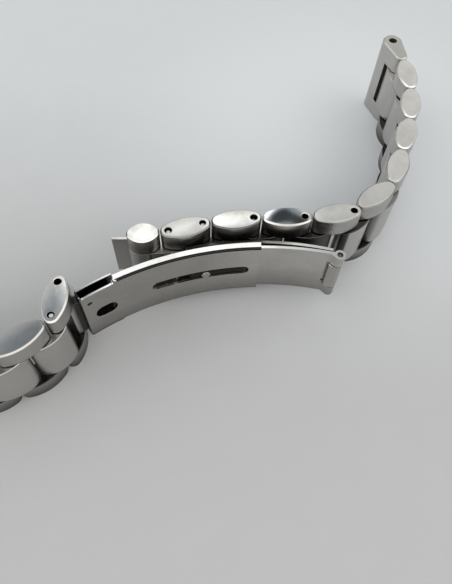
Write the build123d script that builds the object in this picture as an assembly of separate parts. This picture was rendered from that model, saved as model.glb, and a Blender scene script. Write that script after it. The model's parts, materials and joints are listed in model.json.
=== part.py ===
from build123d import *
import os
from math import atan2, cos, degrees, radians, sin

# Link watch bracelet of a 16 mm lug width with a hidden single-fold clasp.
# It stands on its edge in an open S: every pin is parallel to Z, and z = 0 is the lower edge.
# Millimetres and degrees. The plan is laid out about the centre of the clasp blades' arc.

# Band
band_width = 16.0
outer_row_width = 3.45
row_gap = 0.10
link_length = 8.0
link_thickness = 3.8
end_radius = 1.24
tip_gap = 0.16
rim_chamfer = 0.24
edge_break = 0.10
centre_chamfer = 0.10
first_centre_trim = 1.2

# Link pins
pin_radius = 0.43
press_clearance = 0.01
running_clearance = 0.04
mouth_radius = 0.56
mouth_chamfer = 0.10
pin_head_round = 0.16
closed_wall = 1.0
deep_recess = 1.25
middle_recess = 0.80
shallow_recess = 0.50
flush_recess = 0.25
mouth_depth = 1.60
pin_end_gap = 0.05

# Lug links at the two ends of the band
lug_radius = 1.9
lug_reach = 4.4
lug_bore_radius = 0.8
pocket_clearance = 0.12

# Clasp blades, bent to one arc
blade_radius = 48.0
sheet = 0.50
channel_sheet = 0.40
channel_width = 12.0
channel_depth = 1.25
bend_radius = 0.36
notch_round = 0.5
box_round = 0.30
slide_clearance = 0.05
side_clearance = 0.10
stack_clearance = 0.10

# Channel blade details
slot_width = 2.05
slot_below_middle = 0.05
oval_width = 2.6
oval_below_middle = 0.6
rim_relief = 0.6
relief_round = 0.4
dimple_radius = 0.42
dimple_depth = 0.20
dimple_above_middle = 3.3
catch_plate_sheet = 0.30
catch_plate_gap = 0.10

# Fold hinge
hinge_pin_radius = 0.45
hinge_clearance = 0.05
knuckle_radius = 0.90
hinge_standoff = 0.61
middle_knuckle = 6.1
knuckle_gap = 0.15
blade_cutout = 1.75
fold_cutout = 1.20
knuckle_ramp = 1.35
lobe_radius = 0.50
lobe_reach = 0.85
lobe_rise = 0.35
hinge_recess = 0.30

# Slide rivet
rivet_radius = 0.60
rivet_head_radius = 0.74
rivet_head_height = 0.17
rivet_head_gap = 0.03
rivet_fit = 0.02

# End unit, on the left end of the fold blade
end_pin_radius = 0.38
end_knuckle_radius = 0.75
end_standoff = 1.75
end_knuckle_width = 5.8
lug_gap = 0.10
short_link_length = 5.08
tab_thickness = 0.5
tab_length = 2.7
tab_flare = 0.25
dowel_radius = 0.6
dowel_depth = 1.4
tongue_thickness = 0.42
tongue_low = 0.85

# Blocks and pins that carry the two chains
block_radius = 1.75
left_pin_standoff = 3.29
right_pin_standoff = 4.38
toe_depth = 1.5
toe_recess = 0.6
overrun = 1.0

# Angles on the blades' arc, from +X
channel_right_deg = 95.0
channel_left_deg = 130.0
end_wall_deg = 129.75
relief_left_deg = 129.75
relief_right_deg = 123.1
notch_deg = 122.9
slot_left_deg = 115.0
slot_right_deg = 98.2
oval_left_deg = 126.35
oval_right_deg = 125.05
dimple_deg = 128.4
rivet_deg = 105.5
hinge_deg = 80.2
extension_left_deg = 108.5
end_hinge_deg = 110.5
tongue_neck_right_deg = 112.3
tongue_neck_left_deg = 113.2
tongue_tip_deg = 115.6
left_pin_deg = 131.3
right_pin_deg = 111.1
toe_deg = 132.2
fold_open_deg = 1.8
overrun_deg = 1.0

# Headings as the band lies, away from the clasp: each unit's edge links and the centre link beyond them
right_headings = [(19, 15), (11, 8), (5, 9.5), (14, 47), (40, 62), (72, 74), (74, 78), (82, 88), (94, 100)]
left_headings = [(-88, -132), (-138, -149), (-160, -169), (-178, -184), (-190, -195)]
right_lug_heading = 106
left_lug_heading = -200
end_unit_heading = 9.5

# Pins that show at the edge: how far each is sunk, by link and by side; None is a closed bore
right_open = {
    1: (shallow_recess, shallow_recess),
    2: (None, middle_recess),
    3: (None, deep_recess),
    4: (None, deep_recess),
}
left_open = {1: (deep_recess, flush_recess)}

# Derived sizes
outer_pin_span = link_length - 2 * end_radius
centre_pin_span = 2 * end_radius + tip_gap
centre_bottom = outer_row_width + row_gap
centre_top = band_width - centre_bottom
middle = band_width / 2
slot_middle = middle - slot_below_middle
channel_bottom = middle - channel_width / 2
channel_top = middle + channel_width / 2
blade_width = channel_width - 2 * channel_sheet - 2 * side_clearance
blade_bottom = middle - blade_width / 2
blade_top = middle + blade_width / 2
extension_inner = blade_radius + channel_sheet + slide_clearance
extension_outer = extension_inner + sheet
fold_inner = extension_outer + stack_clearance
fold_outer = fold_inner + sheet
catch_inner = blade_radius + channel_depth + catch_plate_gap
catch_outer = catch_inner + catch_plate_sheet
bore_radius = pin_radius + running_clearance


def on_arc(radius, angle):
    """The point of the plan at a radius and an angle about the centre of the blades' arc."""
    return radius * cos(radians(angle)), radius * sin(radians(angle))


def turned(point, pivot, angle):
    """A point of the plan, turned about another."""
    x, y = point[0] - pivot[0], point[1] - pivot[1]
    c, s = cos(radians(angle)), sin(radians(angle))
    return pivot[0] + c * x - s * y, pivot[1] + s * x + c * y


def prism(face, bottom, top):
    """A plan face as a solid from one height to another."""
    return extrude(Pos(0, 0, bottom) * face, amount=top - bottom)


def post(centre, radius, bottom, top):
    """An upright round post, also used as a bore's tool."""
    return Pos(centre[0], centre[1], (bottom + top) / 2) * Cylinder(radius, top - bottom)


def sector(inner, outer, start, end):
    """A stretch of a bent sheet in plan, between two radii and two angles."""
    mid = (start + end) / 2
    edges = [
        ThreePointArc(on_arc(outer, start), on_arc(outer, mid), on_arc(outer, end)),
        Line(on_arc(outer, end), on_arc(inner, end)),
        ThreePointArc(on_arc(inner, end), on_arc(inner, mid), on_arc(inner, start)),
        Line(on_arc(inner, start), on_arc(outer, start)),
    ]
    return make_face(edges)


def lens(length):
    """The link's outline: two long side arcs that run smoothly into round ends."""
    reach = length / 2 - end_radius
    half = link_thickness / 2
    side = (reach**2 + half**2 - end_radius**2) / (2 * (half - end_radius))
    lean = atan2(side - half, reach)
    x = reach + end_radius * cos(lean)
    y = end_radius * sin(lean)
    tip = length / 2
    edges = [
        ThreePointArc((-x, y), (0, half), (x, y)),
        ThreePointArc((x, y), (tip, 0), (x, -y)),
        ThreePointArc((x, -y), (0, -half), (-x, -y)),
        ThreePointArc((-x, -y), (-tip, 0), (-x, y)),
    ]
    return make_face(edges)


def rim(solid, top):
    """The outer edges of a solid's top or bottom face."""
    face = solid.faces().sort_by(Axis.Z)[-1 if top else 0]
    return face.outer_wire().edges()


def edge_link(length):
    """The upper edge link's body: a polished bevel round the face that shows."""
    body = prism(lens(length), band_width - outer_row_width, band_width)
    body = chamfer(rim(body, True), rim_chamfer)
    return chamfer(rim(body, False), edge_break)


def pin_bore(x, recess):
    """The tool for one pin's bore in the upper edge link, open at the face or closed."""
    inner_face = band_width - outer_row_width
    press_radius = pin_radius + press_clearance
    if recess is None:
        return post((x, 0), press_radius, inner_face - overrun, band_width - closed_wall)
    bore = post((x, 0), press_radius, inner_face - overrun, band_width + overrun)
    return bore + post((x, 0), mouth_radius, band_width - mouth_depth, band_width + overrun)


def other_edge(solid):
    """The lower edge's twin of an upper edge link."""
    return mirror(solid, Plane.XY.offset(middle))


def outer_pair(recesses):
    """The two edge links of one unit, which share its two pins."""
    upper = edge_link(link_length)
    for side, recess in zip((-1, 1), recesses):
        upper -= pin_bore(side * outer_pin_span / 2, recess)
    mouths = upper.faces().sort_by(Axis.Z)[-1].inner_wires()
    for mouth in mouths:
        upper = chamfer(mouth.edges(), mouth_chamfer)
    return [upper, other_edge(upper)]


def link_pins(recesses):
    """The two pins of one unit. An open bore's pin stops short of the face by its recess."""
    pins = []
    for side, recess in zip((-1, 1), recesses):
        cover = closed_wall + pin_end_gap if recess is None else recess
        pin = post((side * outer_pin_span / 2, 0), pin_radius, cover, band_width - cover)
        pins.append(fillet(pin.edges().filter_by(GeomType.CIRCLE), pin_head_round))
    return pins


def centre_link(trim):
    """A wide centre link, cut short by a trim on its near side, with bores for its neighbours' pins."""
    body = prism(Pos(trim / 2, 0) * lens(link_length - trim), centre_bottom, centre_top)
    body = chamfer(rim(body, True), centre_chamfer)
    body = chamfer(rim(body, False), centre_chamfer)
    for side in (-1, 1):
        body -= post((side * centre_pin_span / 2, 0), bore_radius, 0, band_width)
    return [body]


def lug_link():
    """The end of a chain: full width, pocketed for the last centre link, bored for a spring bar."""
    nose = Circle(end_radius)
    heel = Pos(lug_reach, 0) * Circle(lug_radius)
    body = prism(make_hull([*nose.edges(), *heel.edges()]), 0, band_width)
    body = chamfer(rim(body, True), rim_chamfer)
    body = chamfer(rim(body, False), rim_chamfer)
    tip_reach = (link_length - centre_pin_span) / 2
    body -= post((0, 0), tip_reach + pocket_clearance, outer_row_width, band_width - outer_row_width)
    press_radius = pin_radius + press_clearance
    body -= post((0, 0), press_radius, closed_wall, band_width - closed_wall)
    return [body - post((lug_reach, 0), lug_bore_radius, -overrun, band_width + overrun)]


def lug_pin():
    """The pin that joins the last centre link to the lug link."""
    cover = closed_wall + pin_end_gap
    pin = post((0, 0), pin_radius, cover, band_width - cover)
    return [chamfer(pin.edges().filter_by(GeomType.CIRCLE), edge_break)]


def radial_bore(angle, height, radius, inner, outer):
    """A round tool that points along the blade's radius, for holes through the bent sheet."""
    x, y = on_arc((inner + outer) / 2, angle)
    return Pos(x, y, height) * Rot(0, 0, angle) * Rot(0, 90, 0) * Cylinder(radius, outer - inner)


def arc_slot(start, end, height, width, inner, outer):
    """The tool for a round-ended slot along the bent sheet."""
    face = sector(inner, outer, start, end)
    tool = prism(face, height - width / 2, height + width / 2)
    tool += radial_bore(start, height, width / 2, inner, outer)
    return tool + radial_bore(end, height, width / 2, inner, outer)


def upright_edge(solid, point):
    """The upright edge of a solid that passes nearest to a point of the plan."""
    edges = solid.edges().filter_by(Axis.Z)
    return edges.sort_by_distance(Vector(point[0], point[1], middle))[0]


def catch_box(front_wall):
    """The folded box at the channel's left end: open on top, its front wall a little lower there."""
    body = prism(sector(blade_radius, catch_outer, notch_deg, channel_left_deg), channel_bottom, channel_top)
    corners = [on_arc(radius, channel_left_deg) for radius in (blade_radius, catch_outer)]
    body = fillet([upright_edge(body, corner) for corner in corners], box_round)
    inner = blade_radius - overrun
    outer = front_wall + sheet
    body -= arc_slot(oval_right_deg, oval_left_deg, middle - oval_below_middle, oval_width, inner, outer)
    height = middle + dimple_above_middle
    body -= radial_bore(dimple_deg, height, dimple_radius, inner, blade_radius + dimple_depth)
    relief = sector(inner, front_wall, relief_right_deg, relief_left_deg)
    relief = prism(relief, channel_top - rim_relief, channel_top + overrun)
    body -= fillet(relief.edges().filter_by(GeomType.LINE).group_by(Axis.Z)[0], relief_round)
    hollow = sector(front_wall, catch_inner, notch_deg - overrun_deg, end_wall_deg)
    return body - prism(hollow, 0, band_width)


def channel_blade():
    """The wide blade: a bent channel, its flanges outward, with a folded box at its left end."""
    outer = blade_radius + channel_depth
    notch_end = blade_radius + channel_sheet
    outline = sector(blade_radius, outer, channel_right_deg, notch_deg)
    outline += sector(blade_radius, notch_end, notch_deg, notch_deg + overrun_deg)
    body = prism(outline, channel_bottom, channel_top)
    body = fillet(upright_edge(body, on_arc(notch_end, notch_deg)), notch_round)
    arcs = body.edges().filter_by(GeomType.CIRCLE)
    arcs = arcs.filter_by(lambda edge: abs(edge.radius - blade_radius) < edge_break)
    bends = arcs.filter_by(lambda edge: abs(edge.center().Z - middle) > channel_width / 4)
    body = fillet(bends, bend_radius)
    hollow = sector(notch_end, outer + overrun, channel_right_deg - overrun_deg, notch_deg + overrun_deg)
    body -= prism(hollow, channel_bottom + channel_sheet, channel_top - channel_sheet)
    body -= arc_slot(slot_right_deg, slot_left_deg, slot_middle, slot_width, blade_radius - overrun, outer)
    stub = sector(blade_radius - overrun, notch_end, notch_deg, notch_deg + 2 * overrun_deg)
    return [body - prism(stub, 0, band_width) + catch_box(notch_end)]


def left_pin():
    """The plan point of the pin that carries the left chain."""
    return on_arc(blade_radius + left_pin_standoff, left_pin_deg)


def right_pin():
    """The plan point of the pin that carries the right chain."""
    return on_arc(blade_radius + right_pin_standoff, right_pin_deg)


def hinge_point():
    """The plan point of the fold hinge."""
    return on_arc(blade_radius + hinge_standoff, hinge_deg)


def end_hinge_closed():
    """The plan point of the end unit's hinge with the clasp shut."""
    return on_arc(blade_radius + end_standoff, end_hinge_deg)


def clasp_end_block():
    """The block welded to the channel's left end, which the first left links hang on."""
    toe = sector(blade_radius + toe_recess, blade_radius + toe_depth, channel_left_deg, toe_deg)
    x, y = left_pin()
    outline = make_hull([*toe.edges(), *(Pos(x, y) * Circle(block_radius)).edges()])
    body = prism(outline, centre_bottom, centre_top)
    body = chamfer(rim(body, True), centre_chamfer)
    body = chamfer(rim(body, False), centre_chamfer)
    body -= post((x, y), bore_radius, 0, band_width)
    keep_out = sector(blade_radius - overrun, catch_outer, notch_deg, channel_left_deg)
    return [body - prism(keep_out, 0, band_width)]


def knuckle_ramp_outline():
    """The roll's smooth run from the extension blade's face onto its outer knuckles, in plan."""
    reach = degrees(knuckle_ramp / blade_radius)
    root = sector(extension_inner, extension_outer, hinge_deg + reach / 2, hinge_deg + reach)
    roll = Pos(*hinge_point()) * Circle(knuckle_radius)
    behind = sector(extension_outer, fold_outer + overrun, hinge_deg, hinge_deg + 2 * reach)
    return make_hull([*root.edges(), *roll.edges()]) - behind


def extension_blade():
    """The narrow blade, which slides in the channel and carries the fold hinge."""
    centre = hinge_point()
    bore = hinge_pin_radius + hinge_clearance
    cut = degrees(blade_cutout / blade_radius)
    edge = middle_knuckle / 2 + knuckle_gap
    strip = sector(extension_inner, extension_outer, hinge_deg, extension_left_deg)
    body = prism(strip, blade_bottom, blade_top)
    gap = sector(blade_radius - overrun, fold_outer + overrun, hinge_deg - cut, hinge_deg + cut)
    body -= prism(gap, middle - edge, middle + edge)
    for bottom, top in ((blade_bottom, middle - edge), (middle + edge, blade_top)):
        body += prism(knuckle_ramp_outline(), bottom, top)
        body += post(centre, knuckle_radius, bottom, top)
    body -= post(centre, bore, 0, band_width)
    return [body - radial_bore(rivet_deg, slot_middle, rivet_radius + rivet_fit, blade_radius, fold_outer)]


def slide_rivet():
    """The rivet through the slot: its head rides on the channel, its tail is flush in the blade."""
    head_top = blade_radius - rivet_head_gap
    head_bottom = head_top - rivet_head_height
    head = radial_bore(rivet_deg, slot_middle, rivet_head_radius, head_bottom, head_top)
    head = chamfer(head.edges().filter_by(GeomType.CIRCLE), rivet_head_height / 4)
    shank_start = head_top - rivet_head_height / 2
    return [head + radial_bore(rivet_deg, slot_middle, rivet_radius, shank_start, extension_outer)]


def hinge_pin():
    """The fold hinge's pin, a little shorter than its knuckles."""
    pin = post(hinge_point(), hinge_pin_radius, blade_bottom + hinge_recess, blade_top - hinge_recess)
    return [chamfer(pin.edges().filter_by(GeomType.CIRCLE), edge_break)]


def fold_blade():
    """The hidden blade behind the channel, modelled shut and then turned to where it lies."""
    centre = hinge_point()
    end = end_hinge_closed()
    cut = degrees(fold_cutout / blade_radius)
    tongue_cut = degrees((end_knuckle_radius + lug_gap) / blade_radius) + cut / 2
    strip = sector(fold_inner, fold_outer, hinge_deg + cut, end_hinge_deg - tongue_cut)
    body = prism(strip, blade_bottom, blade_top)
    middle_strip = sector(fold_inner, fold_outer, hinge_deg, hinge_deg + 2 * cut)
    half = middle_knuckle / 2
    body += prism(middle_strip, middle - half, middle + half)
    roll = Pos(*centre) * Circle(knuckle_radius)
    lobe_deg = hinge_deg + degrees(lobe_reach / blade_radius)
    lobe = Pos(*on_arc(blade_radius + hinge_standoff - lobe_rise, lobe_deg)) * Circle(lobe_radius)
    body += prism(make_hull([*roll.edges(), *lobe.edges()]), middle - half, middle + half)
    tongue = sector(fold_inner, fold_outer, end_hinge_deg - 2 * tongue_cut, end_hinge_deg)
    half = end_knuckle_width / 2
    body += prism(tongue, middle - half, middle + half)
    body += post(end, end_knuckle_radius, middle - half, middle + half)
    body -= post(centre, hinge_pin_radius + hinge_clearance, 0, band_width)
    body -= post(end, end_pin_radius + hinge_clearance, 0, band_width)
    return [as_opened(body)]


def as_opened(solid):
    """A solid of the shut clasp, turned about the fold hinge to the resting opening."""
    x, y = hinge_point()
    return Pos(x, y) * Rot(0, 0, -fold_open_deg) * Pos(-x, -y) * solid


def end_hinge():
    """The plan point of the end unit's hinge as the clasp lies."""
    return turned(end_hinge_closed(), hinge_point(), -fold_open_deg)


def end_frame():
    """Where the end unit lies: its origin is the right chain's first pin."""
    x, y = right_pin()
    return Pos(x, y) * Rot(0, 0, end_unit_heading)


def short_link_x():
    """The short edge link's middle, along the end unit from its first pin."""
    return -(end_radius + tip_gap + short_link_length / 2)


def tab():
    """The thin lip that runs on from the outer face of the end unit, curved a little outward."""
    face = link_thickness / 2
    back = face - tab_thickness
    root = short_link_x()
    tip = root - short_link_length / 2 - tab_length
    bow = (root + tip) / 2
    edges = [
        ThreePointArc((root, face), (bow, face), (tip, face + tab_flare)),
        Line((tip, face + tab_flare), (tip, back + tab_flare)),
        ThreePointArc((tip, back + tab_flare), (bow, back), (root, back)),
        Line((root, back), (root, face)),
    ]
    return make_face(edges)


def end_centre_piece():
    """The end unit's centre: a centre link, a short block with a lip, and two hinge lugs."""
    outline = Pos(-centre_pin_span / 2, 0) * lens(link_length)
    outline += Pos(short_link_x(), 0) * lens(short_link_length)
    outline += tab()
    body = end_frame() * prism(outline, centre_bottom, centre_top)
    hinge = end_hinge()
    start = right_pin()
    low_end = Pos(*hinge) * Circle(end_knuckle_radius)
    high_end = Pos(*start) * Circle(end_radius)
    body += prism(make_hull([*low_end.edges(), *high_end.edges()]), centre_bottom, centre_top)
    half = end_knuckle_width / 2 + lug_gap
    body -= post(hinge, end_knuckle_radius + lug_gap, middle - half, middle + half)
    path = sector(fold_inner - lug_gap, fold_outer + lug_gap, hinge_deg, end_hinge_deg)
    body -= as_opened(prism(path, middle - half, middle + half))
    wall = closed_wall / 2
    body -= post(hinge, end_pin_radius + press_clearance, centre_bottom + wall, centre_top - wall)
    body -= post(start, bore_radius, 0, band_width)
    spot = (short_link_x(), 0)
    for bottom in (centre_bottom, centre_top - dowel_depth):
        body -= end_frame() * post(spot, dowel_radius + press_clearance, bottom, bottom + dowel_depth)
    return [body]


def end_edge_links():
    """The two short edge links of the end unit, with no pin in sight."""
    spot = (short_link_x(), 0)
    inner_face = band_width - outer_row_width
    upper = Pos(*spot) * edge_link(short_link_length)
    upper -= post(spot, dowel_radius + press_clearance, inner_face - overrun, inner_face + dowel_depth)
    upper = end_frame() * upper
    return [upper, other_edge(upper)]


def end_dowels():
    """The hidden dowels that hold the short edge links on."""
    upper = post(
        (short_link_x(), 0),
        dowel_radius,
        centre_top - dowel_depth + pin_end_gap,
        band_width - outer_row_width + dowel_depth - pin_end_gap,
    )
    upper = end_frame() * upper
    return [upper, other_edge(upper)]


def end_hinge_pin():
    """The pin between the fold blade and the end unit."""
    cover = closed_wall / 2 + pin_end_gap
    return [post(end_hinge(), end_pin_radius, centre_bottom + cover, centre_top - cover)]


def latch_tongue():
    """The hook under the end unit, which slips under the channel's folded plate."""
    low = blade_radius + tongue_low
    half = end_knuckle_width / 2
    hook = sector(low, low + tongue_thickness, tongue_neck_right_deg, tongue_tip_deg)
    neck = sector(low, blade_radius + right_pin_standoff, tongue_neck_right_deg, tongue_neck_left_deg)
    body = prism(hook, middle - half, middle + half) + prism(neck, middle - half, middle + half)
    return [as_opened(body) - end_centre_piece()[0]]


def walk(start, headings):
    """Place a chain's units: each has two edge links on its pins, then the centre link beyond them."""
    units = []
    x, y = start
    for heading, between in headings:
        first = (x, y)
        x += outer_pin_span * cos(radians(heading))
        y += outer_pin_span * sin(radians(heading))
        second = (x, y)
        x += centre_pin_span * cos(radians(between))
        y += centre_pin_span * sin(radians(between))
        units.append({"pins": (first, second), "heading": heading, "between": between, "after": (x, y)})
    return units


def laid(solids, ends, heading):
    """Solids made about a link's middle, moved to where the link lies."""
    x = (ends[0][0] + ends[1][0]) / 2
    y = (ends[0][1] + ends[1][1]) / 2
    return [Pos(x, y) * Rot(0, 0, heading) * solid for solid in solids]


def chain_nodes(side, units, opened, last):
    """All nodes of one chain."""
    nodes = {}
    for number, unit in enumerate(units, 1):
        recesses = opened.get(number, (None, None))
        nodes[f"{side}_edge_links_{number}"] = laid(outer_pair(recesses), unit["pins"], unit["heading"])
        nodes[f"{side}_link_pins_{number}"] = laid(link_pins(recesses), unit["pins"], unit["heading"])
        ends = (unit["pins"][1], unit["after"])
        trim = first_centre_trim if (side, number) == ("left", 1) else 0
        nodes[f"{side}_centre_link_{number}"] = laid(centre_link(trim), ends, unit["between"])
    place = Pos(*units[-1]["after"]) * Rot(0, 0, last)
    nodes[f"{side}_lug_link"] = [place * solid for solid in lug_link()]
    nodes[f"{side}_lug_link_pin"] = [place * solid for solid in lug_pin()]
    return nodes


def clasp_nodes():
    """All nodes of the clasp."""
    return {
        "channel_blade": channel_blade(),
        "clasp_end_block": clasp_end_block(),
        "extension_blade": extension_blade(),
        "slide_rivet": slide_rivet(),
        "fold_hinge_pin": hinge_pin(),
        "fold_blade": fold_blade(),
        "end_centre_piece": end_centre_piece(),
        "end_edge_links": end_edge_links(),
        "end_link_dowels": end_dowels(),
        "end_hinge_pin": end_hinge_pin(),
        "latch_tongue": latch_tongue(),
    }


right_units = walk(right_pin(), right_headings)
left_units = walk(left_pin(), left_headings)
nodes = clasp_nodes()
nodes.update(chain_nodes("right", right_units, right_open, right_lug_heading))
nodes.update(chain_nodes("left", left_units, left_open, left_lug_heading))

# The origin is the middle of the bracelet's footprint, on the edge that it stands on
boxes = [solid.bounding_box() for solids in nodes.values() for solid in solids]
low_x = min(box.min.X for box in boxes)
low_y = min(box.min.Y for box in boxes)
high_x = max(box.max.X for box in boxes)
high_y = max(box.max.Y for box in boxes)
shift_x = -(low_x + high_x) / 2
shift_y = -(low_y + high_y) / 2

os.makedirs("parts", exist_ok=True)
for name, solids in nodes.items():
    moved = [Pos(shift_x, shift_y) * solid for solid in solids]
    export_step(Compound(moved), f"parts/{name}.step")
print("size", round(high_x - low_x, 2), round(high_y - low_y, 2), band_width)
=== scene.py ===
import json
import math

import bpy
from mathutils import Matrix, Vector


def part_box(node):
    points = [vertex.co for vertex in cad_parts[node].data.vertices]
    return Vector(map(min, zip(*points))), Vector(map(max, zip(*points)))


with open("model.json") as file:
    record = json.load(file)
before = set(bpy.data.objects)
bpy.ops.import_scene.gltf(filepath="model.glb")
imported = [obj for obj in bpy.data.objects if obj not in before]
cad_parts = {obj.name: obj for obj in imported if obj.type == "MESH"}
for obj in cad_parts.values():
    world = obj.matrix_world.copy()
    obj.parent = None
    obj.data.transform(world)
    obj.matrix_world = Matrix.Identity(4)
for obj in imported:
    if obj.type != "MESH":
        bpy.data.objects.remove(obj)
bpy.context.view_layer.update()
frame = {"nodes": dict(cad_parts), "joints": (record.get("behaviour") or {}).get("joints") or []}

# Link watch bracelet in steel, standing on its edge on a pale table. Metres; angles in degrees.

mm = 0.001

# Camera, worked out from the photograph
photo_high_pixels = 584
focal_pixels = 553
sensor = 36.0
clip_range = (1 * mm, 10)
camera_height = 85.2 * mm
camera_from_arc_centre = Vector((-9.35 * mm, -2.0 * mm))
pitch_down = 59.71
roll = 3.46

# Table: its colour runs lighter from near to far as painted light, with a painted pool of light in one place
table_size = 8
table_near = (0.508, 0.512, 0.518)
table_far_painted_light = (0.615, 0.642, 0.663)
painted_light_run = (-20 * mm, 40 * mm)
painted_pool_colour = (0.735, 0.762, 0.785)
painted_pool_place = (38 * mm, 24 * mm, 0)
painted_pool_reach = 60 * mm
mottle_scale = (160, 160, 1)
mottle_detail = 6.0
mottle_depth = 0.15
table_roughness = 0.55
table_specular = 0.3

# The room as the steel mirrors it: elevation and colour, on the far side and all round it. The far side
# starts at the first reach to either side of its bearing and is full at the second.
ambient = 1.05
far_bearing = -8
far_reaches = (75, 45)
far_side = (
    (0, (0.45, 0.45, 0.44)),
    (24, (0.78, 0.78, 0.76)),
    (36, (0.78, 0.78, 0.76)),
    (41, (0.68, 0.68, 0.66)),
    (49, (0.72, 0.72, 0.70)),
    (54, (0.58, 0.60, 0.61)),
    (57, (0.37, 0.42, 0.48)),
    (62, (0.32, 0.37, 0.43)),
    (70, (0.32, 0.36, 0.41)),
    (90, (0.40, 0.43, 0.46)),
)
all_round = (
    (0, (0.50, 0.49, 0.47)),
    (14, (1.20, 1.18, 1.14)),
    (28, (1.55, 1.53, 1.49)),
    (48, (1.55, 1.53, 1.49)),
    (60, (0.80, 0.80, 0.79)),
    (68, (0.38, 0.40, 0.43)),
    (90, (0.40, 0.43, 0.46)),
)

# A soft light on the far side: bearings from +Y, elevations, and colour
glow_bearings = (-27.5, -25, 3, 17)
glow_elevations = (44, 51, 58, 62)
glow_colour = (1.00, 0.99, 0.95)

# Dark things high in the room: bearing, elevation, reach, soft edge and share of light left
dark_spots = (
    (9, 76, 9, 5, 0.16),
    (-33, 58.5, 1.0, 3.5, 0.55),
    (-39, 61, 1.0, 4.0, 0.55),
)

# A direction's plan length is the root of this less its height squared, so it never reaches zero
over_one = 1.001

# Steel colours. dark is painted shade on the fold hinge pin's end, and the last is the near black that all
# painted shade darkens towards
shining = (0.95, 0.94, 0.92)
bright = (0.72, 0.71, 0.69)
plain = (0.50, 0.49, 0.47)
warm = (0.53, 0.515, 0.49)
dull = (0.42, 0.41, 0.39)
dark = (0.06, 0.057, 0.05)
painted_shade_colour = (0.016, 0.015, 0.013)

# Finishes: roughness of the faces and of the walls, softened edge, and depth of the brushing.
# The edge links' has no first number, because each of their faces has its own.
satin = (0.20, 0.34, 0.12 * mm, 0.35)
bare_blade = (0.09, 0.27, 0.05 * mm, 0.04)
hidden_blade = (0.14, 0.27, 0.05 * mm, 0.04)
pin_end = (0.40, 0.25, 0.03 * mm, 0.2)
rivet_head = (0.30, 0.22, 0.20 * mm, 0.3)
edge_link_walls = (0.30, 0.06 * mm, 0.35)

# Textures of the steel: noise scales, and for scratches their turn and the noise values they grow over
noise_roughness = 0.6
fine_lines = (260, 260, 9000)
broad_lines = (90, 90, 2600)
fine_share = 0.6
smudges = (230, 230, 230)
smudge_detail = 4.0
scratches = (
    ((14000, 260, 400), 24, 0.66, 0.72),
    ((11000, 200, 400), -58, 0.67, 0.73),
)

# What the textures do: how they vary the roughness, dull the colour and raise the surface
flat_normals = (0.3, 0.6, 0, 1)
smudge_values = (0.35, 0.7)
smudge_roughness = (0.7, 1.7)
scratch_roughness = 0.10
line_values = (0.3, 0.7)
line_roughness = (-0.6, 0.7)
smudge_dulling = (0.40, 0.68, 0, 0.4)
scratch_height = -0.25
relief_height = 0.012 * mm
bevel_samples = 6

# Sizes and counts repeated from the source
link_length = 8.0 * mm
short_link_length = 5.08 * mm
link_thickness = 3.8 * mm
end_unit_heading = 9.5
units = {"right": 9, "left": 5}
band_middle = 8.0 * mm
channel_half = 5.7 * mm
outer_pin_span = 5.52 * mm
pin_radius = 0.43 * mm
channel_back = 48.35 * mm
box_back = 49.50 * mm
bend_front = 48.33 * mm
bend_foot = 13.67 * mm
slot_half = 1.1 * mm
slot_middle = 7.95 * mm
dimple_height = 11.3 * mm
dimple_radius = 0.40 * mm
dimple_deg = 128.4
blade_radius = 48.0 * mm

# Edge faces by unit: roughness, rise of the cushion and lean towards the camera side in mm, and tone, a
# painted shade that darkens some faces' colour
usual_face = (0.16, 0.05, 0.0, 1.0)
end_face = (0.16, 0.01, 0.0, 1.0)
faces = {
    "right_1": (0.15, 0.05, 0.0, 0.72),
    "right_2": (0.14, 0.07, 0.0, 1.0),
    "right_3": (0.10, 0.12, 0.42, 0.95),
    "right_4": (0.26, 0.04, 0.0, 0.92),
    "right_5": (0.26, 0.04, 0.0, 0.92),
    "right_6": (0.24, 0.04, 0.0, 1.0),
    "left_2": (0.15, 0.05, 0.0, 0.72),
}

# How fast that lean falls off along the face
lean_fall = 1.3

# Shares of painted shade by unit: upper walls by the clasp, rims, centre links' fronts, and their tops
close_walls = {"right_1": 0.7, "right_2": 0.75, "right_3": 0.8}
end_unit_walls = 0.45
painted_shade_rims = {"right_1": 0.6, "right_2": 0.85, "right_4": 0.55, "right_5": 0.6, "right_6": 0.5}
close_centres = {"right_1": 0.8, "right_2": 0.8, "right_3": 0.88}
close_tops = {"right_4": 0.9, "right_5": 0.5}

# The side across a link, by chain, that the photograph shows. On the right chain it faces the clasp
fronts = {"right": -1, "left": 1}

# Painted shade on a centre link's near end, by unit: where along it fades, and where across it starts
dark_near_ends = {
    "right_4": (-3.1 * mm, -2.7 * mm, 0.3 * mm),
    "left_1": (-2.5 * mm, -2.1 * mm, -0.5 * mm),
}

# Fades of painted shade: from, to, and the share at each. First the blades' lower edges, by height
low_edge = (2.1 * mm, 3.4 * mm, 0.8, 0)
low_wash = (2 * mm, 9 * mm, 0.5, 0)

# The channel, by angle about the arc, distance from its centre, or height. An angle's edge is in radians.
sharp_edge = 0.05 * mm
box_angles = (124, 129.6)
box_angle_edge = 0.002
box_end = (129.6, 129.7, 0, 0.92)
bend_depth = (bend_front - 0.02 * mm, bend_front, 0.98, 0)
bend_height = (bend_foot - 0.08 * mm, bend_foot - 0.03 * mm, 0, 1)
bend_angle = (122.5, 122.8, 1, 0)
dimple_fade = (dimple_radius, dimple_radius + sharp_edge, 0.95, 0)
dimple_depth = (48.02 * mm, 48.06 * mm, 0, 1)
left_angle = (98, 106, 0, 0.22)

# What shows through the slot, the fold blade's edges, and the end unit behind the slot, likewise
slot_edge = 0.15 * mm
slot_angles = (95.6, 118)
slot_angle_edge = 0.004
fold_angle = (90, 95, 0, 0.95)
end_depth = (51 * mm, 51.5 * mm, 1, 0)
end_height = (6 * mm, 9 * mm, 0.93, 0)
end_angle = (114, 115.5, 1, 0)

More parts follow.
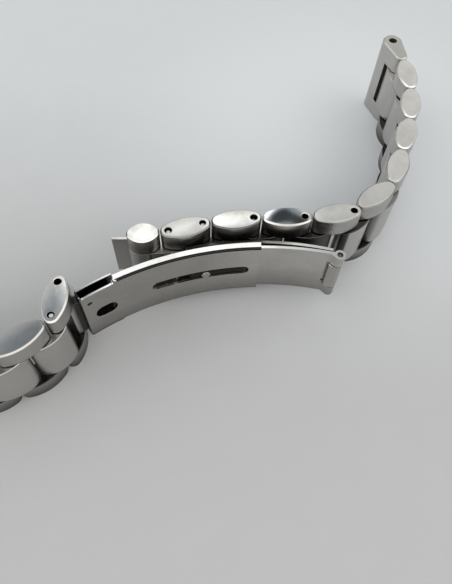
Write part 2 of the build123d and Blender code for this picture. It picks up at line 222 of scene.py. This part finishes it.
# The end block, on its side and on its front
side_angle = (132.0, 132.15, 0, 0.95)
side_depth = (51.2 * mm, 51.4 * mm, 1, 0)
front_angle = (131.0, 131.8, 0.95, 0)
front_depth = (49.8 * mm, 50.2 * mm, 1, 0)

# Links, by distance from a pin, height, or place along or across
pin_rim = (pin_radius - 0.15 * mm, pin_radius - 0.08 * mm, 0, 0.97)
bore_fade = (0.59 * mm, 0.62 * mm, 1, 0)
bore_heights = (0.15 * mm, 15.85 * mm, 0.03 * mm)
gap_heights = (3.3 * mm, 12.7 * mm, sharp_edge)
gap_share = 0.97
wall_height = (0, 4.5 * mm, 0.92, 0.12)
lower_wall = (3.4 * mm, 3.6 * mm, 0.97, 0)
upper_wall = (14.0 * mm, 15.2 * mm)
rim_heights = (15.74 * mm, 15.78 * mm, 15.95 * mm, 15.98 * mm)
front_reach = (0, 0.8 * mm)
near_end_share = 0.97
near_end_edge = 0.1 * mm
rounded_ends = (3.6 * mm, 3.95 * mm, 0, 0.5)


def joint(name):
    """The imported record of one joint."""
    return next(item for item in frame["joints"] if item["name"] == name)


def pin(name):
    """The plan point of a hinge."""
    return Vector(joint(name)["pos_m"][:2])


def add_camera():
    """The photograph's view."""
    data = bpy.data.cameras.new("camera")
    data.sensor_width = sensor
    data.lens = sensor * focal_pixels / photo_high_pixels
    data.clip_start, data.clip_end = clip_range
    camera = bpy.data.objects.new("camera", data)
    place = pin("extension_slide") + camera_from_arc_centre
    tilt = Matrix.Rotation(math.radians(90 - pitch_down), 4, "X")
    turn = Matrix.Rotation(math.radians(roll), 4, "Z")
    camera.matrix_world = Matrix.Translation((place.x, place.y, camera_height)) @ tilt @ turn
    bpy.context.scene.collection.objects.link(camera)
    bpy.context.scene.camera = camera


def add(tree, kind, **values):
    """A shader node, with inputs set by name (underscores for spaces) or attributes set."""
    made = tree.nodes.new(kind)
    for name, value in values.items():
        label = name.replace("_", " ")
        if label in made.inputs:
            made.inputs[label].default_value = value
        else:
            setattr(made, name, value)
    return made


def material(name):
    """A new node material, its tree and its shader."""
    made = bpy.data.materials.new(name)
    made.use_nodes = True
    return made, made.node_tree, made.node_tree.nodes["Principled BSDF"]


def sums(tree, operation, first, second=0.0):
    """A math node on two sockets or numbers."""
    made = add(tree, "ShaderNodeMath", operation=operation)
    for socket, value in zip(made.inputs, (first, second)):
        if isinstance(value, (int, float)):
            socket.default_value = value
        else:
            tree.links.new(value, socket)
    return made.outputs[0]


def product(tree, *shares):
    """The product of several shares."""
    result = shares[0]
    for share in shares[1:]:
        result = sums(tree, "MULTIPLY", result, share)
    return result


def most(tree, *shares):
    """The largest of several shares."""
    result = shares[0]
    for share in shares[1:]:
        result = sums(tree, "MAXIMUM", result, share)
    return result


def less(tree, share):
    """What a share leaves of 1."""
    return sums(tree, "SUBTRACT", 1.0, share)


def squares(tree, first, second):
    """The sum of two squares."""
    return sums(tree, "ADD", product(tree, first, first), product(tree, second, second))


def reach(tree, first, second):
    """The length of a run that has two parts at right angles."""
    return sums(tree, "SQRT", squares(tree, first, second))


def spread(tree, value, low, high, to_low, to_high):
    """A value's range mapped onto another, held at its ends."""
    made = add(tree, "ShaderNodeMapRange", From_Min=low, From_Max=high, To_Min=to_low, To_Max=to_high)
    tree.links.new(value, made.inputs["Value"])
    return made.outputs["Result"]


def turned(tree, angle, fade):
    """A fade over an angle in radians, whose two ends are given in degrees."""
    start, finish, first, last = fade
    return spread(tree, angle, math.radians(start), math.radians(finish), first, last)


def window(tree, value, start, full, last, end):
    """0 up to a value, 1 between the two middle ones, and 0 again from the last."""
    return product(tree, spread(tree, value, start, full, 0, 1), spread(tree, value, last, end, 1, 0))


def within(tree, value, low, high, edge):
    """1 where a value lies between two limits, falling to 0 over an edge beyond them."""
    return window(tree, value, low - edge, low, high, high + edge)


def between(tree, share, first, second):
    """Two colours mixed by a share; each may be a colour or a socket."""
    made = add(tree, "ShaderNodeMix", data_type="RGBA")
    tree.links.new(share, made.inputs["Factor"])
    for socket, value in zip((made.inputs["A"], made.inputs["B"]), (first, second)):
        if isinstance(value, tuple):
            socket.default_value = (*value, 1)
        else:
            tree.links.new(value, socket)
    return made.outputs["Result"]


def grain(tree, vector, scale, turn=0.0, detail=2.0):
    """Noise stretched by a scale on each axis, after a turn about Z."""
    mapping = add(tree, "ShaderNodeMapping", Rotation=(0, 0, math.radians(turn)), Scale=scale)
    noise = add(tree, "ShaderNodeTexNoise", Scale=1.0, Detail=detail, Roughness=noise_roughness)
    tree.links.new(vector, mapping.inputs["Vector"])
    tree.links.new(mapping.outputs["Vector"], noise.inputs["Vector"])
    return noise.outputs["Fac"]


def steel(name, wall, face, finish, dome=None, painted_shade=None):
    """Steel that is polished where it faces up or down and brushed along the band elsewhere.

    wall and face are the colours of the two. finish is the roughness of the face and of the wall, the
    radius that softens the edges, and how deep the brushing is. dome is (middle, heading, length,
    thickness, rise, lean) of a cushioned edge face. The last argument, if given, is a function that
    gives the share of painted shade, towards near black, from the tree, the place and the share of flat face."""
    polish, brush, bevel, streak = finish
    made, tree, shader = material(name)
    link = tree.links.new
    place = add(tree, "ShaderNodeTexCoord").outputs["Object"]
    facing = add(tree, "ShaderNodeSeparateXYZ")
    link(add(tree, "ShaderNodeNewGeometry").outputs["True Normal"], facing.inputs[0])
    flat = spread(tree, sums(tree, "ABSOLUTE", facing.outputs["Z"]), *flat_normals)

    fine = sums(tree, "MULTIPLY", grain(tree, place, fine_lines), fine_share)
    broad = sums(tree, "MULTIPLY", grain(tree, place, broad_lines), 1 - fine_share)
    lines = sums(tree, "ADD", fine, broad)
    smudge = grain(tree, place, smudges, detail=smudge_detail)
    marks = []
    for scale, turn, low, high in scratches:
        marks.append(spread(tree, grain(tree, place, scale, turn), low, high, 0, 1))
    scratch = most(tree, *marks)

    polished = spread(tree, smudge, *smudge_values, *[polish * part for part in smudge_roughness])
    polished = sums(tree, "ADD", polished, sums(tree, "MULTIPLY", scratch, scratch_roughness))
    brushed = spread(tree, lines, *line_values, *[brush * (1 + part * streak) for part in line_roughness])
    rough = add(tree, "ShaderNodeMix", data_type="FLOAT")
    link(flat, rough.inputs["Factor"])
    link(brushed, rough.inputs["A"])
    link(polished, rough.inputs["B"])
    link(rough.outputs["Result"], shader.inputs["Roughness"])

    shade = between(tree, spread(tree, smudge, *smudge_dulling), between(tree, flat, wall, face), dull)
    # Painted shade: the colour is darkened towards near black by the mask's share
    if painted_shade:
        shade = between(tree, painted_shade(tree, place, flat), shade, painted_shade_colour)
    link(shade, shader.inputs["Base Color"])
    shader.inputs["Metallic"].default_value = 1.0

    soft = add(tree, "ShaderNodeBevel", samples=bevel_samples, Radius=bevel)
    brushing = sums(tree, "MULTIPLY", less(tree, flat), lines)
    relief = sums(tree, "ADD", brushing, sums(tree, "MULTIPLY", scratch, scratch_height))
    bump = add(tree, "ShaderNodeBump", Strength=streak, Distance=relief_height)
    link(relief, bump.inputs["Height"])
    link(soft.outputs[0], bump.inputs["Normal"])
    normal = bump.outputs[0]
    if dome:
        normal = domed(tree, place, normal, *dome)
    link(normal, shader.inputs["Normal"])
    return made


def domed(tree, place, normal, middle, heading, length, thickness, rise, lean):
    """Bends the normal as on a face that is cushioned towards its rim and leans."""
    along, across, _ = link_place(tree, place, middle, heading)
    along = sums(tree, "DIVIDE", along, length / 2)
    across = sums(tree, "DIVIDE", across, thickness / 2)
    fall = sums(tree, "MULTIPLY", product(tree, along, along), lean_fall)
    leaning = less(tree, sums(tree, "MINIMUM", 1.0, fall))
    leaning = product(tree, leaning, sums(tree, "MULTIPLY", across, lean))
    cushion = sums(tree, "MULTIPLY", squares(tree, along, across), -rise)
    made = add(tree, "ShaderNodeBump", Strength=1.0, Distance=1.0)
    tree.links.new(sums(tree, "ADD", cushion, leaning), made.inputs["Height"])
    tree.links.new(normal, made.inputs["Normal"])
    return made.outputs[0]


def arc_place(tree, place):
    """The distance from the centre of the blades' arc, the angle about it in radians, and the height."""
    centre = pin("extension_slide")
    offset = add(tree, "ShaderNodeVectorMath", operation="SUBTRACT")
    tree.links.new(place, offset.inputs[0])
    offset.inputs[1].default_value = (centre.x, centre.y, 0)
    parts = add(tree, "ShaderNodeSeparateXYZ")
    tree.links.new(offset.outputs[0], parts.inputs[0])
    x, y, z = parts.outputs
    return reach(tree, x, y), sums(tree, "ARCTAN2", y, x), z


def link_place(tree, place, middle, heading):
    """A place along and across a link from its middle, and its height above the table, in metres."""
    inward = add(tree, "ShaderNodeMapping", vector_type="TEXTURE")
    inward.inputs["Location"].default_value = (middle.x, middle.y, 0)
    inward.inputs["Rotation"].default_value = (0, 0, math.radians(heading))
    tree.links.new(place, inward.inputs["Vector"])
    parts = add(tree, "ShaderNodeSeparateXYZ")
    tree.links.new(inward.outputs["Vector"], parts.inputs[0])
    return parts.outputs


def low_painted_shade(tree, height):
    """Painted shade, darkening a blade towards its lower edge."""
    return most(tree, spread(tree, height, *low_edge), spread(tree, height, *low_wash))


def channel_painted_shade(tree, place, flat):
    """Painted shade in the channel's folded box, dimple and bend, at its left, and towards its lower edge."""
    distance, angle, height = arc_place(tree, place)
    inside = within(tree, distance, channel_back, box_back, sharp_edge)
    along = within(tree, angle, *[math.radians(end) for end in box_angles], box_angle_edge)
    hollow = within(tree, height, band_middle - channel_half, band_middle + channel_half, sharp_edge)
    box = product(tree, inside, along, hollow)
    end = product(tree, inside, turned(tree, angle, box_end))
    bend = product(tree, spread(tree, distance, *bend_depth), spread(tree, height, *bend_height))
    bend = product(tree, bend, turned(tree, angle, bend_angle))
    sideways = sums(tree, "SUBTRACT", angle, math.radians(dimple_deg))
    sideways = sums(tree, "MULTIPLY", sideways, blade_radius)
    upward = sums(tree, "SUBTRACT", height, dimple_height)
    dimple = spread(tree, reach(tree, sideways, upward), *dimple_fade)
    dimple = product(tree, dimple, spread(tree, distance, *dimple_depth))
    left = product(tree, turned(tree, angle, left_angle), less(tree, flat))
    return most(tree, box, end, bend, dimple, low_painted_shade(tree, height), left)


def blade_painted_shade(tree, place, flat):
    """Painted shade on what lies behind the slot, and towards the lower edge."""
    _, angle, height = arc_place(tree, place)
    behind = within(tree, height, slot_middle - slot_half, slot_middle + slot_half, slot_edge)
    along = within(tree, angle, *[math.radians(end) for end in slot_angles], slot_angle_edge)
    return most(tree, product(tree, behind, along), low_painted_shade(tree, height))


def fold_painted_shade(tree, place, flat):
    """Painted shade on the fold blade's edges where the channel covers it."""
    _, angle, _ = arc_place(tree, place)
    return product(tree, flat, turned(tree, angle, fold_angle))


def end_piece_painted_shade(tree, place, flat):
    """Painted shade low on the front of the end unit's centre piece, behind the channel's slot."""
    distance, angle, height = arc_place(tree, place)
    front = product(tree, spread(tree, distance, *end_depth), spread(tree, height, *end_height))
    return product(tree, front, turned(tree, angle, end_angle))


def block_painted_shade(tree, place, flat):
    """Painted shade on the end block where it meets the channel."""
    distance, angle, _ = arc_place(tree, place)
    side = product(tree, turned(tree, angle, side_angle), spread(tree, distance, *side_depth))
    front = product(tree, turned(tree, angle, front_angle), spread(tree, distance, *front_depth))
    return most(tree, front, side)


def from_pins(tree, along, across):
    """The distance from the nearer of a unit's two pins."""
    offset = sums(tree, "SUBTRACT", sums(tree, "ABSOLUTE", along), outer_pin_span / 2)
    return reach(tree, offset, across)


def pin_rim_painted_shade(middle, heading):
    """Painted shade round the rims of a unit's pins."""
    def painted_shade(tree, place, flat):
        along, across, _ = link_place(tree, place, middle, heading)
        return spread(tree, from_pins(tree, along, across), *pin_rim)
    return painted_shade


def edge_painted_shade(middle, heading, front, close, rim):
    """Painted shade in the pin bores, on the faces in the gaps, and on the walls low down or by the clasp.

    front is the side across the link that the photograph shows, and faces the clasp where close is
    given. close is the share on the upper walls there, and rim the share on the rim."""
    def painted_shade(tree, place, flat):
        along, across, height = link_place(tree, place, middle, heading)
        bore = spread(tree, from_pins(tree, along, across), *bore_fade)
        bore = product(tree, bore, within(tree, height, *bore_heights))
        inner = within(tree, height, *gap_heights)
        shade = spread(tree, height, *wall_height)
        if close:
            low = spread(tree, height, *lower_wall)
            shade = most(tree, spread(tree, height, *upper_wall, close, 0), low)
            ahead = sums(tree, "MULTIPLY", across, front)
            shade = product(tree, shade, spread(tree, ahead, *front_reach, 0, 1))
        shares = [product(tree, less(tree, flat), shade), bore]
        shares.append(sums(tree, "MULTIPLY", inner, gap_share))
        if rim:
            shares.append(sums(tree, "MULTIPLY", window(tree, height, *rim_heights), rim))
        return most(tree, *shares)
    return painted_shade


def centre_painted_shade(middle, heading, front, close, near, top):
    """Painted shade on a centre link's ends and top, and on its front where it is close to the clasp."""
    def painted_shade(tree, place, flat):
        along, across, _ = link_place(tree, place, middle, heading)
        ahead = sums(tree, "MULTIPLY", across, front)
        if near:
            start, finish, side = near
            ends = spread(tree, along, start, finish, near_end_share, 0)
            ends = product(tree, ends, spread(tree, ahead, side, side + near_end_edge, 0, 1))
        else:
            ends = spread(tree, sums(tree, "ABSOLUTE", along), *rounded_ends)
        facing = spread(tree, ahead, *front_reach, 0, close)
        return most(tree, ends, facing, sums(tree, "MULTIPLY", flat, top))
    return painted_shade


def dress(node, made):
    """Give a CAD node its material."""
    mesh = frame["nodes"][node].data
    mesh.materials.clear()
    mesh.materials.append(made)


def add_table():
    """A pale table top with a faint mottle, painted lighter towards the far side and with a painted pool of
    light.
    """
    bpy.ops.mesh.primitive_plane_add(size=table_size)
    table = bpy.context.object
    table.name = "table_top"
    made, tree, shader = material("table_top")
    place = add(tree, "ShaderNodeTexCoord").outputs["Object"]
    parts = add(tree, "ShaderNodeSeparateXYZ")
    tree.links.new(place, parts.inputs[0])
    mottle = grain(tree, place, mottle_scale, detail=mottle_detail)
    mottle = spread(tree, mottle, 0, 1, -mottle_depth, mottle_depth)
    # The mottle, plus a painted lightening towards the far side
    far = sums(tree, "ADD", mottle, spread(tree, parts.outputs["Y"], *painted_light_run, 0, 1))
    # Painted pool of light: the colour turns paler near one place
    away = add(tree, "ShaderNodeVectorMath", operation="DISTANCE")
    tree.links.new(place, away.inputs[0])
    away.inputs[1].default_value = painted_pool_place
    pale = add(tree, "ShaderNodeMapRange", interpolation_type="SMOOTHSTEP")
    pale.inputs["From Max"].default_value = painted_pool_reach
    pale.inputs["To Min"].default_value = 1.0
    pale.inputs["To Max"].default_value = 0.0
    tree.links.new(away.outputs["Value"], pale.inputs["Value"])
    shade = between(tree, far, table_near, table_far_painted_light)
    shade = between(tree, pale.outputs["Result"], shade, painted_pool_colour)
    tree.links.new(shade, shader.inputs["Base Color"])
    shader.inputs["Roughness"].default_value = table_roughness
    shader.inputs["Specular IOR Level"].default_value = table_specular
    table.data.materials.append(made)


def ramp(tree, height, stops):
    """A colour by elevation, where height is the sine of the elevation."""
    made = add(tree, "ShaderNodeValToRGB")
    tree.links.new(height, made.inputs["Fac"])
    elements = made.color_ramp.elements
    elements.remove(elements[1])
    for number, (elevation, colour) in enumerate(stops):
        position = math.sin(math.radians(elevation))
        stop = elements[0] if number == 0 else elements.new(position)
        stop.position = position
        stop.color = (*colour, 1)
    return made.outputs["Color"]


def towards(tree, direction, bearing, elevation):
    """The cosine between a direction and one given by its bearing from +Y and its elevation."""
    turn, rise = math.radians(bearing), math.radians(elevation)
    dot = add(tree, "ShaderNodeVectorMath", operation="DOT_PRODUCT")
    tree.links.new(direction, dot.inputs[0])
    level = math.cos(rise)
    dot.inputs[1].default_value = (math.sin(turn) * level, math.cos(turn) * level, math.sin(rise))
    return dot.outputs["Value"]


def add_world():
    """A room, light all round and dim overhead, with a soft light on the far side and dark things high up."""
    world = bpy.data.worlds.new("room")
    world.use_nodes = True
    bpy.context.scene.world = world
    tree = world.node_tree
    background = tree.nodes["Background"]
    parts = add(tree, "ShaderNodeSeparateXYZ")
    direction = add(tree, "ShaderNodeTexCoord").outputs["Generated"]
    tree.links.new(direction, parts.inputs[0])
    height = parts.outputs["Z"]
    plan = sums(tree, "SQRT", sums(tree, "SUBTRACT", over_one, product(tree, height, height)))
    ahead = sums(tree, "DIVIDE", towards(tree, direction, far_bearing, 0), plan)
    outer, inner = [math.cos(math.radians(angle)) for angle in far_reaches]
    far_share = spread(tree, ahead, outer, inner, 0, 1)
    room = between(tree, far_share, ramp(tree, height, all_round), ramp(tree, height, far_side))
    bearing = sums(tree, "ARCTAN2", parts.outputs["X"], parts.outputs["Y"])
    sideways = window(tree, bearing, *[math.radians(angle) for angle in glow_bearings])
    upward = window(tree, height, *[math.sin(math.radians(angle)) for angle in glow_elevations])
    lit = add(tree, "ShaderNodeMix", data_type="RGBA", blend_type="ADD")
    tree.links.new(product(tree, sideways, upward), lit.inputs["Factor"])
    tree.links.new(room, lit.inputs["A"])
    lit.inputs["B"].default_value = (*glow_colour, 1)
    shade = lit.outputs["Result"]
    for turn, rise, radius, edge, left in dark_spots:
        full, clear = [math.cos(math.radians(angle)) for angle in (radius, radius + edge)]
        near = spread(tree, towards(tree, direction, turn, rise), clear, full, 0, 1 - left)
        shade = between(tree, near, shade, (0.0, 0.0, 0.0))
    tree.links.new(shade, background.inputs["Color"])
    background.inputs["Strength"].default_value = ambient


def unit_place(side, number):
    """The middle and the heading of a unit, from its two hinges."""
    first = pin(f"{side}_link_{number}_hinge")
    second = pin(f"{side}_centre_{number}_hinge")
    run = second - first
    return (first + second) / 2, math.degrees(math.atan2(run.y, run.x))


def centre_place(side, number, count):
    """The middle and the heading of a centre link, from its two hinges."""
    after = f"{side}_lug_hinge" if number == count else f"{side}_link_{number + 1}_hinge"
    first = pin(f"{side}_centre_{number}_hinge")
    run = pin(after) - first
    return first + run / 2, math.degrees(math.atan2(run.y, run.x))


def edge_steel(name, middle, heading, length, face, painted_shade):
    """The polished edge faces and brushed walls of one pair of edge links."""
    polish, rise, lean, painted_shade_tone = face
    dome = (middle, heading, length, link_thickness, rise * mm, lean * mm)
    # The tone darkens the face colour as painted shade
    colour = tuple(part * painted_shade_tone for part in bright)
    return steel(name, plain, colour, (polish, *edge_link_walls), dome, painted_shade)


def dress_unit(side, number, count):
    """Dress one pair of edge links, their pins, and the centre link that follows them."""
    unit = f"{side}_{number}"
    middle, heading = unit_place(side, number)
    painted_shade = edge_painted_shade(middle, heading, fronts[side], close_walls.get(unit), painted_shade_rims.get(unit))
    face = faces.get(unit, usual_face)
    edges = edge_steel(f"edge_steel_{unit}", middle, heading, link_length, face, painted_shade)
    dress(f"{side}_edge_links_{number}", edges)
    pins = steel(f"pin_steel_{unit}", bright, shining, pin_end, painted_shade=pin_rim_painted_shade(middle, heading))
    dress(f"{side}_link_pins_{number}", pins)
    middle, heading = centre_place(side, number, count)
    shade_shares = close_centres.get(unit, 0), dark_near_ends.get(unit), close_tops.get(unit, 0)
    painted_shade = centre_painted_shade(middle, heading, fronts[side], *shade_shares)
    centre = steel(f"centre_steel_{unit}", plain, plain, satin, painted_shade=painted_shade)
    dress(f"{side}_centre_link_{number}", centre)


bpy.context.scene.view_settings.view_transform = "Standard"
add_camera()
add_table()
add_world()

end_steel = steel("end_steel", plain, plain, satin)
pin_steel = steel("pin_steel", bright, bright, pin_end)

for side, count in units.items():
    for number in range(1, count + 1):
        dress_unit(side, number, count)
    dress(f"{side}_lug_link", end_steel)
    dress(f"{side}_lug_link_pin", pin_steel)

low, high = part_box("end_edge_links")
middle = ((low + high) / 2).xy
painted_shade = edge_painted_shade(middle, end_unit_heading, fronts["right"], end_unit_walls, None)
edges = edge_steel("end_edge_steel", middle, end_unit_heading, short_link_length, end_face, painted_shade)
dress("end_edge_links", edges)
dress("end_centre_piece", steel("piece_steel", plain, plain, satin, painted_shade=end_piece_painted_shade))
dress("clasp_end_block", steel("block_steel", plain, plain, satin, painted_shade=block_painted_shade))
dress("channel_blade", steel("channel_steel", warm, bright, bare_blade, painted_shade=channel_painted_shade))
dress("extension_blade", steel("blade_steel", warm, bright, bare_blade, painted_shade=blade_painted_shade))
dress("fold_blade", steel("fold_steel", dull, bright, hidden_blade, painted_shade=fold_painted_shade))
# The fold hinge pin's end face has painted shade: near black in place of steel
dress("fold_hinge_pin", steel("hinge_steel", dull, dark, hidden_blade))
dress("slide_rivet", steel("rivet_steel", dull, plain, rivet_head))
dress("latch_tongue", end_steel)
dress("end_hinge_pin", pin_steel)
dress("end_link_dowels", pin_steel)
